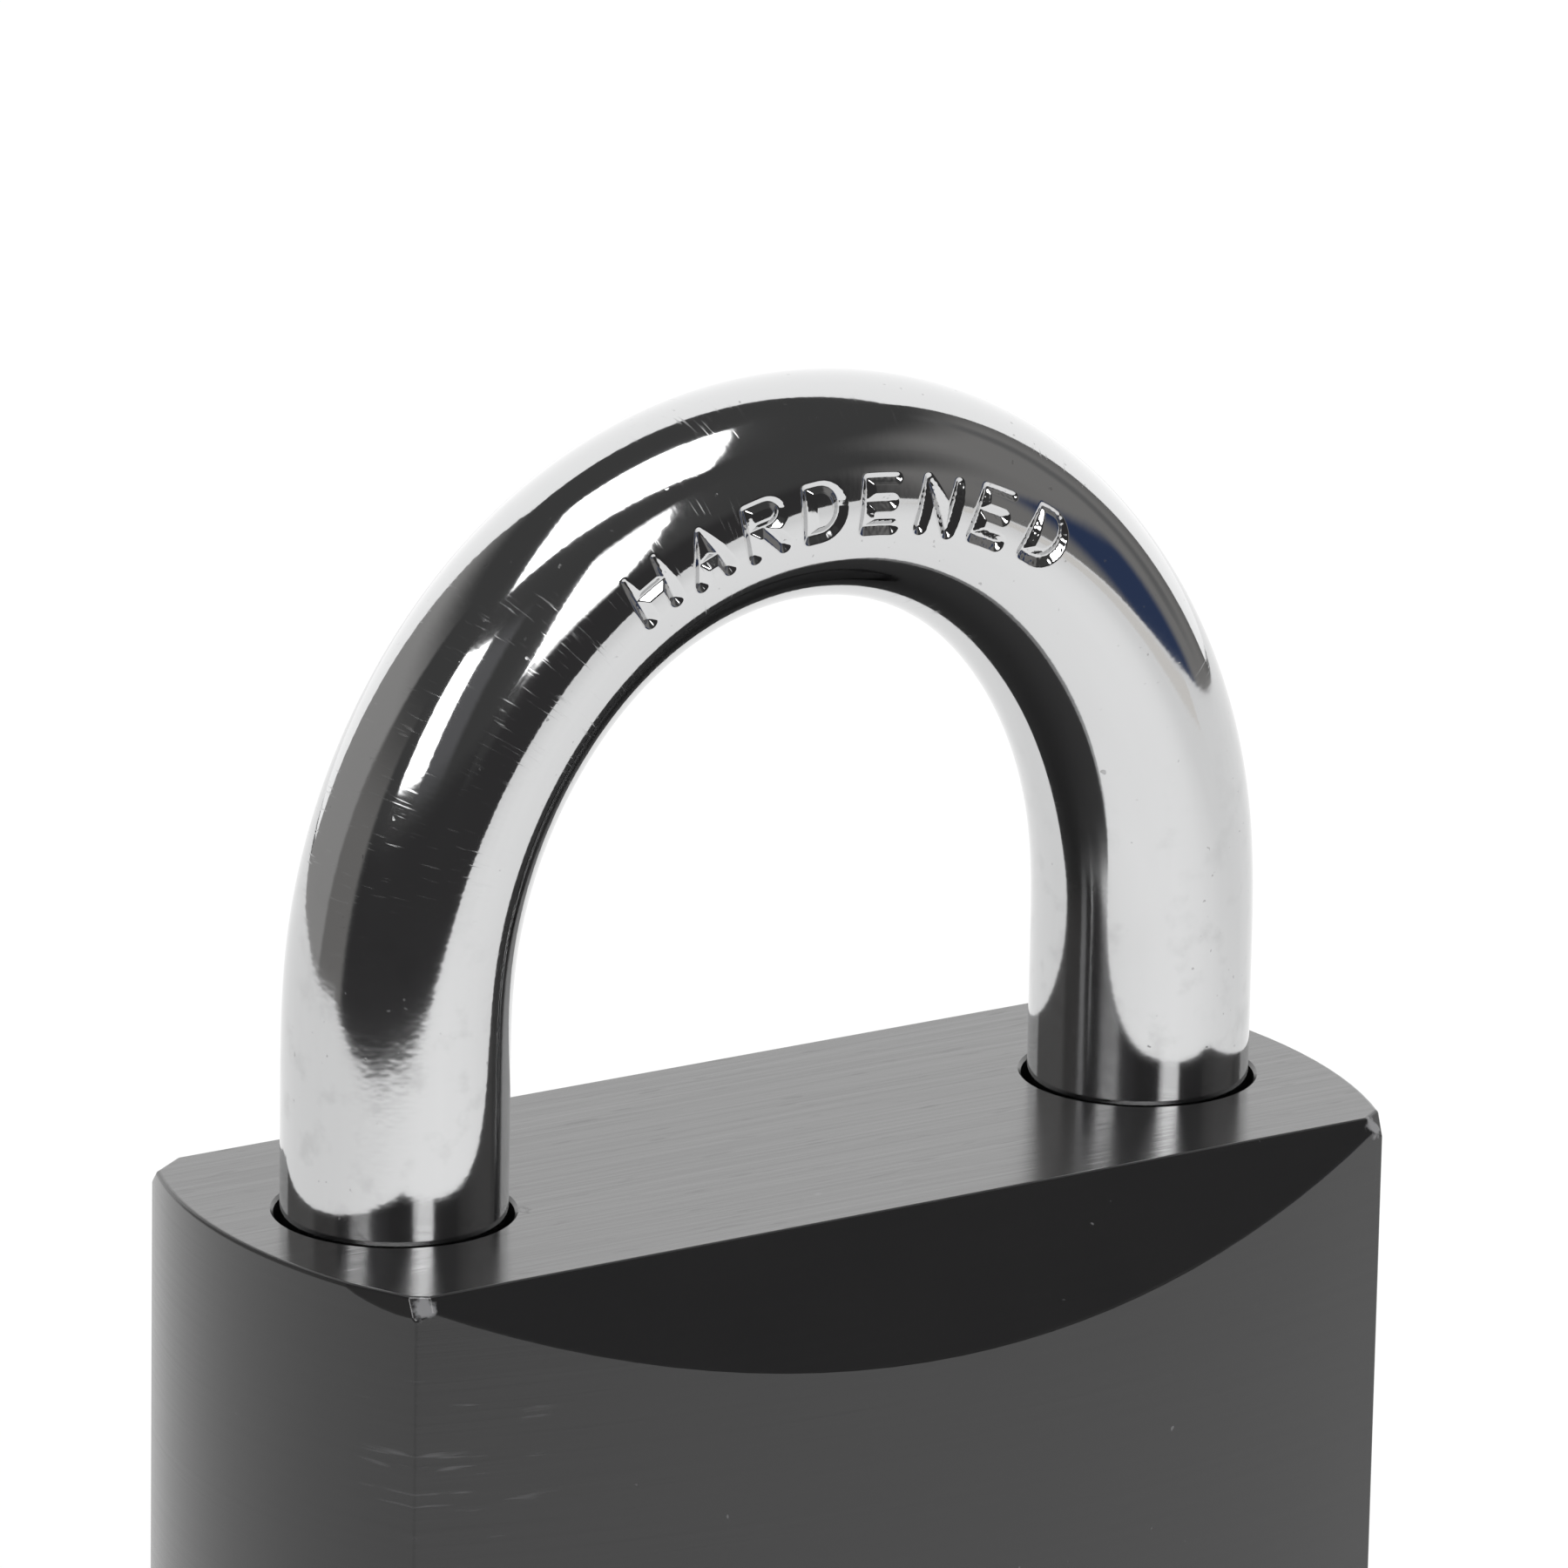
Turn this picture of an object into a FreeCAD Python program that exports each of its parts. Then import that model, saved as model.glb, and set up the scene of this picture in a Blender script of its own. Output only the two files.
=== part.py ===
"""Disc-detainer padlock: solid steel body, chromed round shackle, ball locking, keyed from below.

Frame: millimetres, +Z up, origin at the centre of the body's underside, X along the body's width,
the front face towards -Y.  The shackle is pushed fully home and the core stands in its open position.
"""
import FreeCAD
import Part
import math
import os

V = FreeCAD.Vector
Z_AXIS = V(0, 0, 1)
Y_AXIS = V(0, 1, 0)
X_AXIS = V(1, 0, 0)

# ---- lock body -------------------------------------------------------------------------------------
BODY_HEIGHT = 56.0
CORNER_X = 27.9            # the four vertical edges stand at (+-CORNER_X, +-CORNER_Y)
CORNER_Y = 12.2
END_BULGE = 2.7            # the ends bow out by this at their middle
FACE_BULGE = 4.0           # the front and back bow out by this at their middle
BEVEL_Y = 12.0             # the flat top and bottom stop at this depth, where the bevels start
BEVEL_SLOPE = 1.52         # drop of a bevel for each millimetre outwards
END_FACET_OFFSET = 30.1    # a slim facet beside the front corner at the toe: its distance from the middle
END_FACET_ANGLE = 24.6     # the way it faces, from -X towards -Y, in degrees
END_FACET_SLOPE = 2.55
CORNER_FACET_DROP = 1.04   # a small facet that breaks each corner
FRONT_FACET_RUN = 0.66
BACK_FACET_RUN = 0.95
CORNER_FACET_ANGLE = 56.0  # the way it faces, from X towards Y, in degrees
EDGE_BREAK = 0.22          # radius on the outer edges
MOUTH_CHAMFER = 0.15       # on the mouths of the leg bores

# ---- shackle ---------------------------------------------------------------------------------------
LEG_X = 21.65              # each leg's axis, either side of the middle: heel at +X, toe at -X
BAR_RADIUS = 5.5
SPRING_LINE = 9.65         # height above the body at which the legs turn into the arch
HAUNCH_RADIUS = 24.75      # centre line of the arch beside each leg
HAUNCH_ANGLE = 45.0
TOE_TIP_Z = 40.0
TOE_CHAMFER = 1.0
WAIST_RADIUS = 3.45        # turned neck in the heel, which the heel pin rides in
WAIST_TOP_Z = 39.5
WAIST_BOTTOM_Z = 18.9
FOOT_BOTTOM_Z = 12.9
FOOT_CHAMFER = 0.6
SHACKLE_LIFT = 17.0

# ---- bores in the body -----------------------------------------------------------------------------
LEG_BORE_RADIUS = 5.8
TOE_BORE_BOTTOM_Z = 38.5
HEEL_BORE_BOTTOM_Z = 6.0
CORE_BORE_RADIUS = 9.5
CORE_BORE_TOP_Z = 50.6
PILOT_RADIUS = 3.1
PILOT_TOP_Z = 53.0

# ---- locking balls and cam -------------------------------------------------------------------------
BALL_RADIUS = 4.5
BALL_Z = 45.5
BALL_CHANNEL_RADIUS = 4.6
BALL_X_OPEN = 11.5
BALL_X_LOCKED = 13.55
BALL_TRAVEL = BALL_X_LOCKED - BALL_X_OPEN
NOTCH_RADIUS = 4.6
CORE_TURN = 90.0           # degrees from the open to the locked position
CAM_GAP = 0.1              # play between cam and ball
CAM_LOW_RADIUS = BALL_X_OPEN - BALL_RADIUS - CAM_GAP
CAM_DWELL_END = 97.0       # degrees round the cam at which the lobe starts to fall
CAM_FALL_END = 135.0
CAM_DRUM_RADIUS = 9.0
CAM_BOTTOM_Z = 35.2
CAM_TRACK_BOTTOM_Z = 40.8
CAM_TRACK_TOP_Z = 50.2
CAM_SPIGOT_RADIUS = 3.0
CAM_SPIGOT_TOP_Z = 52.6
CAM_SLOT_WIDTH = 4.0
CAM_SLOT_TOP_Z = 39.0

# ---- cylinder --------------------------------------------------------------------------------------
CASE_RADIUS = 9.45
CASE_BORE_RADIUS = 7.6
CASE_BOTTOM_Z = 0.4
CASE_LIP_TOP_Z = 2.5
CASE_MOUTH_RADIUS = 6.1
CASE_TOP_Z = 34.9
GROOVE_ANGLE = 90.0        # where the side bar locks into the case
SIDE_BAR_RADIUS = 1.0
SIDE_BAR_ORBIT_IN = 6.45   # side bar's distance from the axis once it has dropped into the gates
SIDE_BAR_ORBIT_OUT = 7.35
SIDE_BAR_PLAY = 0.08
SIDE_BAR_ANGLE = GROOVE_ANGLE + CORE_TURN

GUARD_NOSE_RADIUS = 6.0
GUARD_FLANGE_RADIUS = 7.45
GUARD_BOTTOM_Z = 0.5
GUARD_FLANGE_Z = 2.6
GUARD_TOP_Z = 4.6
LUG_WIDTH = 3.0
LUG_HEIGHT = 1.0
LUG_PLAY = 0.1

CARRIER_RADIUS = 7.5
CARRIER_BORE_RADIUS = 6.3
CARRIER_BOTTOM_Z = 4.7
CARRIER_SLOTS_Z = 7.0
CARRIER_FLOOR_Z = 29.5
CARRIER_TOP_Z = 31.5
CARRIER_WINDOW = 3.0
TANG_RADIUS = 2.95
TANG_WIDTH = 3.85
TANG_TOP_Z = 38.6

DISC_COUNT = 9
DISC_RADIUS = 6.2
DISC_THICKNESS = 1.6
DISC_FIRST_Z = 7.2
DISC_PITCH = 2.2
DISC_CODE = (2, 0, 4, 1, 5, 3, 0, 4, 2)
CODE_STEP = 18.0           # degrees that each code step turns the key slot
FALSE_GATE_RADIUS = 0.55
FALSE_GATE_ORBIT = 6.45
SPACER_THICKNESS = 0.5
SPACER_GAP = 0.05
SPACER_HOLE_RADIUS = 3.7
SPACER_TAB = 2.8
SPACER_TAB_REACH = 7.35
DRIVER_THICKNESS = 2.3

KEYWAY_RADIUS = 3.4
KEYWAY_FLAT = -0.4         # the flat of the half-round key slot, from the axis

PLATE_BOTTOM_Z = 31.6
PLATE_TOP_Z = 33.2
PLATE_RADIUS = 7.5
PLATE_HOLE_RADIUS = 3.2
RING_BOTTOM_Z = 33.3
RING_THICKNESS = 0.8
RING_OUTER_RADIUS = 8.25
RING_INNER_RADIUS = 6.7
RING_GAP_WIDTH = 5.0
RING_GROOVE_RADIUS = 8.35
RING_GROOVE_PLAY = 0.05

# ---- cross pins and spring -------------------------------------------------------------------------
PIN_RADIUS = 1.48
PIN_BORE_RADIUS = 1.5
PIN_FRONT_Y = -9.0
PIN_RECESS = 0.25          # pins end this far below the back face
PIN_CHAMFER = 0.25
CYLINDER_PIN_X = 10.2
CYLINDER_PIN_Z = 12.0
HEEL_PIN_X = 16.6
HEEL_PIN_Z = 37.5
SPRING_WIRE_RADIUS = 0.45
SPRING_MEAN_RADIUS = 4.2
SPRING_TURNS = 5
SPRING_CLEARANCE = 0.05


def cylinder(radius, bottom, top, x=0.0, y=0.0):
    """Upright cylinder between two heights."""
    return Part.makeCylinder(radius, top - bottom, V(x, y, bottom), Z_AXIS)


def ring(outer, inner, bottom, top):
    return cylinder(outer, bottom, top).cut(cylinder(inner, bottom - 1, top + 1))


def block(size_x, size_y, bottom, top, x=0.0, y=0.0):
    """Upright box centred on (x, y)."""
    corner = V(x - size_x / 2, y - size_y / 2, bottom)
    return Part.makeBox(size_x, size_y, top - bottom, corner)


def turned(shape, degrees):
    """The shape, turned about the lock's vertical axis."""
    copy = shape.copy()
    copy.rotate(V(0, 0, 0), Z_AXIS, degrees)
    return copy


def radial_bar(width, inner, outer, bottom, top, degrees):
    """Box that runs outwards from the axis in one direction."""
    bar = block(outer - inner, width, bottom, top, x=(inner + outer) / 2)
    return turned(bar, degrees)


def chamfered_cylinder(radius, bottom, top, chamfer, at_bottom=True, at_top=True):
    """Upright cylinder with its rims chamfered."""
    shape = cylinder(radius, bottom, top)
    edges = []
    for edge in shape.Edges:
        if isinstance(edge.Curve, Part.Circle):
            height = edge.Curve.Center.z
            if (at_bottom and abs(height - bottom) < 1e-6) or (at_top and abs(height - top) < 1e-6):
                edges.append(edge)
    return shape.makeChamfer(chamfer, edges)


def face_y(x):
    """Depth of the bowed front or back face at a given x, on the arc through its corners and middle."""
    radius = (CORNER_X ** 2 + FACE_BULGE ** 2) / (2 * FACE_BULGE)
    return CORNER_Y + FACE_BULGE - radius + math.sqrt(radius ** 2 - x ** 2)


# ---- lock body -------------------------------------------------------------------------------------
def body_block():
    """Bar section of four bowed sides, cut to the body's height."""
    corners = [V(-CORNER_X, -CORNER_Y, 0), V(CORNER_X, -CORNER_Y, 0),
               V(CORNER_X, CORNER_Y, 0), V(-CORNER_X, CORNER_Y, 0)]
    middles = [V(0, -CORNER_Y - FACE_BULGE, 0), V(CORNER_X + END_BULGE, 0, 0),
               V(0, CORNER_Y + FACE_BULGE, 0), V(-CORNER_X - END_BULGE, 0, 0)]
    sides = []
    for index, middle in enumerate(middles):
        following = corners[(index + 1) % 4]
        sides.append(Part.Arc(corners[index], middle, following).toShape())
    return Part.Face(Part.Wire(sides)).extrude(V(0, 0, BODY_HEIGHT))


def facet_cutter(offset, degrees, slope, end):
    """Wedge that planes off a facet of the body.  The facet starts on the flat end at a distance from
    the middle, faces the given way in plan, and drops by slope for each millimetre outwards."""
    inside = 0.4 / slope
    reach = 12.0
    points = [V(offset - inside, 0, 0.4), V(offset + reach, 0, -reach * slope), V(offset + reach, 0, 0.4)]
    wedge = Part.Face(Part.makePolygon(points + points[:1])).extrude(V(0, 80, 0))
    wedge.translate(V(0, -40, 0))
    wedge.rotate(V(0, 0, 0), Z_AXIS, degrees)
    if end == 0:
        return wedge.mirror(V(0, 0, 0), Z_AXIS)
    wedge.translate(V(0, 0, BODY_HEIGHT))
    return wedge


def facet_cutters():
    """The front and back bevels, a facet on each corner, and the slim facet on the toe end."""
    angle = math.radians(CORNER_FACET_ANGLE)
    corner_reach = CORNER_X * math.cos(angle) + CORNER_Y * math.sin(angle)
    facets = [(BEVEL_Y, 90.0, BEVEL_SLOPE), (BEVEL_Y, 270.0, BEVEL_SLOPE),
              (END_FACET_OFFSET, 180.0 + END_FACET_ANGLE, END_FACET_SLOPE)]
    for side, run in ((-1, FRONT_FACET_RUN), (1, BACK_FACET_RUN)):
        for degrees in (side * CORNER_FACET_ANGLE, 180.0 - side * CORNER_FACET_ANGLE):
            facets.append((corner_reach - run, degrees, CORNER_FACET_DROP / run))
    return [facet_cutter(*facet, end) for facet in facets for end in (0, 1)]


def outer_body():
    """The body's outside, with its bevels, facets and broken edges, before any bore."""
    shape = body_block()
    for cutter in facet_cutters():
        shape = shape.cut(cutter)
    return shape.makeFillet(EDGE_BREAK, shape.Edges)


def mouth_cone(x):
    """Cone that chamfers the mouth of a leg bore."""
    return Part.makeCone(LEG_BORE_RADIUS, LEG_BORE_RADIUS + 2 * MOUTH_CHAMFER, 2 * MOUTH_CHAMFER,
                         V(x, 0, BODY_HEIGHT - MOUTH_CHAMFER), Z_AXIS)


def cross_bore(x, z, radius=PIN_BORE_RADIUS):
    """Bore for a cross pin, drilled in from the back face."""
    return Part.makeCylinder(radius, 40, V(x, PIN_FRONT_Y - 0.1, z), Y_AXIS)


def lock_body():
    shape = outer_body()
    bores = [
        cylinder(LEG_BORE_RADIUS, TOE_BORE_BOTTOM_Z, BODY_HEIGHT + 1, x=-LEG_X),
        cylinder(LEG_BORE_RADIUS, HEEL_BORE_BOTTOM_Z, BODY_HEIGHT + 1, x=LEG_X),
        mouth_cone(-LEG_X),
        mouth_cone(LEG_X),
        cylinder(CORE_BORE_RADIUS, -1, CORE_BORE_TOP_Z),
        cylinder(PILOT_RADIUS, CORE_BORE_TOP_Z - 1, PILOT_TOP_Z),
        Part.makeCylinder(BALL_CHANNEL_RADIUS, 2 * LEG_X, V(-LEG_X, 0, BALL_Z), X_AXIS),
        cross_bore(CYLINDER_PIN_X, CYLINDER_PIN_Z),
        cross_bore(HEEL_PIN_X, HEEL_PIN_Z),
    ]
    for bore in bores:
        shape = shape.cut(bore)
    return shape


# ---- shackle ---------------------------------------------------------------------------------------
def arch_segment(start_x, start_z, tangent_angle, centre, sweep):
    """Bent length of round bar: its end circle swept about an axis along Y through centre."""
    normal = V(-math.sin(tangent_angle), 0, math.cos(tangent_angle))
    circle = Part.Face(Part.Wire(Part.makeCircle(BAR_RADIUS, V(start_x, 0, start_z), normal)))
    return circle.revolve(centre, Y_AXIS, sweep)


def shackle_arch():
    """Three tangent bends: a wide one beside each leg and a tighter one over the crown."""
    base_z = BODY_HEIGHT + SPRING_LINE
    angle = math.radians(HAUNCH_ANGLE)
    inset = HAUNCH_RADIUS - LEG_X
    crown_radius = HAUNCH_RADIUS - inset / math.cos(angle)
    crown_centre = V(0, 0, base_z + inset * math.tan(angle))
    heel = arch_segment(LEG_X, base_z, 0.0, V(-inset, 0, base_z), -HAUNCH_ANGLE)
    toe = arch_segment(-LEG_X, base_z, 0.0, V(inset, 0, base_z), HAUNCH_ANGLE)
    crown = arch_segment(crown_radius * math.cos(angle),
                         crown_centre.z + crown_radius * math.sin(angle),
                         angle, crown_centre, 2 * HAUNCH_ANGLE - 180)
    return [heel, crown, toe]


def shackle():
    base_z = BODY_HEIGHT + SPRING_LINE
    toe = chamfered_cylinder(BAR_RADIUS, TOE_TIP_Z, base_z, TOE_CHAMFER, at_top=False)
    toe.translate(V(-LEG_X, 0, 0))
    heel = cylinder(BAR_RADIUS, WAIST_TOP_Z, base_z, x=LEG_X)
    waist = cylinder(WAIST_RADIUS, WAIST_BOTTOM_Z - 0.5, WAIST_TOP_Z + 0.5, x=LEG_X)
    foot = chamfered_cylinder(BAR_RADIUS, FOOT_BOTTOM_Z, WAIST_BOTTOM_Z, FOOT_CHAMFER, at_top=False)
    foot.translate(V(LEG_X, 0, 0))
    shape = toe.fuse(shackle_arch() + [heel, waist, foot]).removeSplitter()
    for side in (-1, 1):
        shape = shape.cut(Part.makeSphere(NOTCH_RADIUS, V(side * BALL_X_LOCKED, 0, BALL_Z)))
    return shape


def shackle_spring():
    """Compression spring under the heel, pressed short by the closed shackle."""
    bottom = HEEL_BORE_BOTTOM_Z + SPRING_CLEARANCE + SPRING_WIRE_RADIUS
    top = FOOT_BOTTOM_Z - SPRING_CLEARANCE - SPRING_WIRE_RADIUS
    height = top - bottom
    helix = Part.makeHelix(height / SPRING_TURNS, height, SPRING_MEAN_RADIUS)
    wire_end = Part.makeCircle(SPRING_WIRE_RADIUS, V(SPRING_MEAN_RADIUS, 0, 0), Y_AXIS)
    coil = Part.Wire(helix.Edges).makePipeShell([Part.Wire(wire_end)], True, True)
    coil.translate(V(LEG_X, 0, bottom))
    return coil


# ---- ball locking ----------------------------------------------------------------------------------
def ball(side):
    return Part.makeSphere(BALL_RADIUS, V(side * BALL_X_OPEN, 0, BALL_Z))


def cam_radius(degrees):
    """Even rise over the core's turn, a short dwell, then a smooth fall.  It repeats each half turn."""
    angle = degrees % 180.0
    if angle <= CORE_TURN:
        rise = angle / CORE_TURN
    elif angle <= CAM_DWELL_END:
        rise = 1.0
    elif angle < CAM_FALL_END:
        share = (angle - CAM_DWELL_END) / (CAM_FALL_END - CAM_DWELL_END)
        rise = 1.0 - share * share * (3 - 2 * share)
    else:
        rise = 0.0
    return CAM_LOW_RADIUS + BALL_TRAVEL * rise


def cam_track():
    points = []
    for degrees in range(0, 360, 5):
        angle = math.radians(degrees)
        radius = cam_radius(degrees)
        points.append(V(radius * math.cos(angle), radius * math.sin(angle), CAM_TRACK_BOTTOM_Z))
    outline = Part.BSplineCurve()
    outline.interpolate(Points=points, PeriodicFlag=True)
    face = Part.Face(Part.Wire(outline.toShape()))
    return face.extrude(V(0, 0, CAM_TRACK_TOP_Z - CAM_TRACK_BOTTOM_Z))


def locking_cam():
    drum = chamfered_cylinder(CAM_DRUM_RADIUS, CAM_BOTTOM_Z, CAM_TRACK_BOTTOM_Z, 0.3, at_top=False)
    spigot = chamfered_cylinder(CAM_SPIGOT_RADIUS, CAM_TRACK_TOP_Z - 1, CAM_SPIGOT_TOP_Z, 0.4,
                                at_bottom=False)
    slot = block(2 * CAM_DRUM_RADIUS + 2, CAM_SLOT_WIDTH, CAM_BOTTOM_Z - 1, CAM_SLOT_TOP_Z)
    return drum.fuse([cam_track(), spigot]).removeSplitter().cut(slot)


# ---- cylinder --------------------------------------------------------------------------------------
def keyway(bottom, top, degrees):
    """Half-round key slot, turned to the given angle."""
    keep = block(10, 10, bottom, top, x=5 + KEYWAY_FLAT)
    return turned(cylinder(KEYWAY_RADIUS, bottom, top).common(keep), degrees)


def gate(bottom, top):
    """Room for the side bar where it drops in."""
    angle = math.radians(SIDE_BAR_ANGLE)
    return cylinder(SIDE_BAR_RADIUS + SIDE_BAR_PLAY, bottom, top,
                    x=SIDE_BAR_ORBIT_IN * math.cos(angle), y=SIDE_BAR_ORBIT_IN * math.sin(angle))


def cylinder_case():
    shape = chamfered_cylinder(CASE_RADIUS, CASE_BOTTOM_Z, CASE_TOP_Z, 0.3)
    angle = math.radians(GROOVE_ANGLE)
    cuts = [
        cylinder(CASE_MOUTH_RADIUS, CASE_BOTTOM_Z - 1, CASE_LIP_TOP_Z + 1),
        cylinder(CASE_BORE_RADIUS, CASE_LIP_TOP_Z, CASE_TOP_Z + 1),
        cylinder(SIDE_BAR_RADIUS + SIDE_BAR_PLAY, CARRIER_SLOTS_Z, CARRIER_FLOOR_Z,
                 x=SIDE_BAR_ORBIT_OUT * math.cos(angle), y=SIDE_BAR_ORBIT_OUT * math.sin(angle)),
        cylinder(RING_GROOVE_RADIUS, RING_BOTTOM_Z - RING_GROOVE_PLAY,
                 RING_BOTTOM_Z + RING_THICKNESS + RING_GROOVE_PLAY),
        cross_bore(CYLINDER_PIN_X, CYLINDER_PIN_Z, PIN_BORE_RADIUS + 0.05),
    ]
    for cut in cuts:
        shape = shape.cut(cut)
    return shape


def guard_disc():
    """Hardened front disc with the key slot, which turns with the carrier by two lugs."""
    nose = chamfered_cylinder(GUARD_NOSE_RADIUS, GUARD_BOTTOM_Z, GUARD_FLANGE_Z, 0.2, at_top=False)
    flange = cylinder(GUARD_FLANGE_RADIUS, GUARD_FLANGE_Z, GUARD_TOP_Z)
    lugs = []
    for degrees in (90, 270):
        lug = radial_bar(LUG_WIDTH, CARRIER_BORE_RADIUS, CARRIER_RADIUS + 1,
                         GUARD_TOP_Z - 0.5, GUARD_TOP_Z + LUG_HEIGHT, degrees)
        lugs.append(lug.common(cylinder(GUARD_FLANGE_RADIUS, 0, 10)))
    shape = nose.fuse([flange] + lugs).removeSplitter()
    return shape.cut(keyway(GUARD_BOTTOM_Z - 1, GUARD_TOP_Z + 1, 0))


def disc_carrier():
    """Drum that holds the discs: slotted for the side bar, windowed for the spacer tabs, tanged on top."""
    shape = cylinder(CARRIER_RADIUS, CARRIER_BOTTOM_Z, CARRIER_TOP_Z)
    shape = shape.cut(cylinder(CARRIER_BORE_RADIUS, CARRIER_BOTTOM_Z - 1, CARRIER_FLOOR_Z))
    slot = radial_bar(2 * (SIDE_BAR_RADIUS + SIDE_BAR_PLAY), 4, CARRIER_RADIUS + 1,
                      CARRIER_SLOTS_Z, CARRIER_FLOOR_Z, SIDE_BAR_ANGLE)
    window = radial_bar(CARRIER_WINDOW, 4, CARRIER_RADIUS + 1, CARRIER_SLOTS_Z, CARRIER_FLOOR_Z,
                        SIDE_BAR_ANGLE + 180)
    shape = shape.cut(slot).cut(window)
    for degrees in (90, 270):
        shape = shape.cut(radial_bar(LUG_WIDTH + 2 * LUG_PLAY, 4, CARRIER_RADIUS + 1,
                                     CARRIER_BOTTOM_Z - 1, GUARD_TOP_Z + LUG_HEIGHT + LUG_PLAY, degrees))
    tang = cylinder(TANG_RADIUS, CARRIER_TOP_Z - 0.5, TANG_TOP_Z)
    tang = tang.common(block(10, TANG_WIDTH, CARRIER_TOP_Z - 1, TANG_TOP_Z + 1))
    return shape.fuse(tang).removeSplitter()


def disc_z(index):
    return DISC_FIRST_Z + index * DISC_PITCH


def code_disc(index):
    """Rotating disc: its true gate under the side bar, its key slot turned back by its code."""
    bottom = disc_z(index)
    top = bottom + DISC_THICKNESS
    code = DISC_CODE[index] * CODE_STEP
    shape = chamfered_cylinder(DISC_RADIUS, bottom, top, 0.1)
    cuts = [gate(bottom - 1, top + 1), keyway(bottom - 1, top + 1, code)]
    for offset in (55, 115, 290):
        angle = math.radians(SIDE_BAR_ANGLE + offset + code / 2)
        cuts.append(cylinder(FALSE_GATE_RADIUS, bottom - 1, top + 1,
                             x=FALSE_GATE_ORBIT * math.cos(angle), y=FALSE_GATE_ORBIT * math.sin(angle)))
    for cut in cuts:
        shape = shape.cut(cut)
    return shape


def spacer(index):
    """Thin washer between two discs, kept from turning by its tab in the carrier's window."""
    bottom = disc_z(index) + DISC_THICKNESS + SPACER_GAP
    top = bottom + SPACER_THICKNESS
    shape = cylinder(DISC_RADIUS, bottom, top)
    tab = radial_bar(SPACER_TAB, 5, SPACER_TAB_REACH, bottom, top, SIDE_BAR_ANGLE + 180)
    shape = shape.fuse(tab).removeSplitter()
    shape = shape.cut(cylinder(SPACER_HOLE_RADIUS, bottom - 1, top + 1))
    return shape.cut(gate(bottom - 1, top + 1))


def driver_disc():
    """Last disc, thicker and uncoded, which carries the core round once the code discs line up."""
    bottom = disc_z(DISC_COUNT)
    top = bottom + DRIVER_THICKNESS
    shape = chamfered_cylinder(DISC_RADIUS, bottom, top, 0.1)
    return shape.cut(gate(bottom - 1, top + 1)).cut(keyway(bottom - 1, top + 1, 0))


def side_bar():
    angle = math.radians(SIDE_BAR_ANGLE)
    bar = chamfered_cylinder(SIDE_BAR_RADIUS, CARRIER_SLOTS_Z + 0.2, CARRIER_FLOOR_Z - 0.2, 0.3)
    bar.translate(V(SIDE_BAR_ORBIT_IN * math.cos(angle), SIDE_BAR_ORBIT_IN * math.sin(angle), 0))
    return bar


def drill_plate():
    """Hardened washer that closes the case above the carrier."""
    return ring(PLATE_RADIUS, PLATE_HOLE_RADIUS, PLATE_BOTTOM_Z, PLATE_TOP_Z)


def snap_ring():
    shape = ring(RING_OUTER_RADIUS, RING_INNER_RADIUS, RING_BOTTOM_Z, RING_BOTTOM_Z + RING_THICKNESS)
    gap = radial_bar(RING_GAP_WIDTH, RING_INNER_RADIUS - 2, RING_OUTER_RADIUS + 1,
                     RING_BOTTOM_Z - 1, RING_BOTTOM_Z + RING_THICKNESS + 1, 0)
    return shape.cut(gap)


# ---- cross pins ------------------------------------------------------------------------------------
def cross_pin(x, z):
    """Hardened pin pressed in from the back face, a little below flush."""
    length = face_y(x) - PIN_RECESS - PIN_FRONT_Y
    pin = chamfered_cylinder(PIN_RADIUS, 0, length, PIN_CHAMFER)
    pin.rotate(V(0, 0, 0), X_AXIS, -90)
    pin.translate(V(x, PIN_FRONT_Y, z))
    return pin


def parts():
    """Every sub-part by its node name."""
    made = {
        "lock_body": lock_body(),
        "shackle": shackle(),
        "shackle_spring": shackle_spring(),
        "ball_toe": ball(-1),
        "ball_heel": ball(1),
        "locking_cam": locking_cam(),
        "cylinder_case": cylinder_case(),
        "guard_disc": guard_disc(),
        "disc_carrier": disc_carrier(),
        "driver_disc": driver_disc(),
        "side_bar": side_bar(),
        "drill_plate": drill_plate(),
        "snap_ring": snap_ring(),
        "cylinder_pin": cross_pin(CYLINDER_PIN_X, CYLINDER_PIN_Z),
        "heel_pin": cross_pin(HEEL_PIN_X, HEEL_PIN_Z),
    }
    for index in range(DISC_COUNT):
        made[f"disc_{index + 1}"] = code_disc(index)
        made[f"spacer_{index + 1}"] = spacer(index)
    return made


os.makedirs("parts", exist_ok=True)
for name, shape in parts().items():
    assert shape.isValid() and len(shape.Solids) == 1, f"{name} is not one valid solid"
    shape.Solids[0].exportStep(f"parts/{name}.step")
    print(f"{name:16s} {shape.Volume:10.1f} mm3  {len(shape.Faces):3d} faces")
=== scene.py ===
"""Looks of a disc-detainer padlock: satin black brushed body, bright chromed shackle with a stamped word.

The CAD body, cylinder and pins keep their meshes and get new materials.  The shackle is rebuilt as one
dense mesh, because its mirror finish and its stamped letters need more surface than the CAD solid has.
Metres throughout, in the CAD frame: +Z up, the front of the lock towards -Y.
"""
import bpy
import bmesh
import math
import numpy as np
from mathutils import Matrix, Vector, noise

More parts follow.
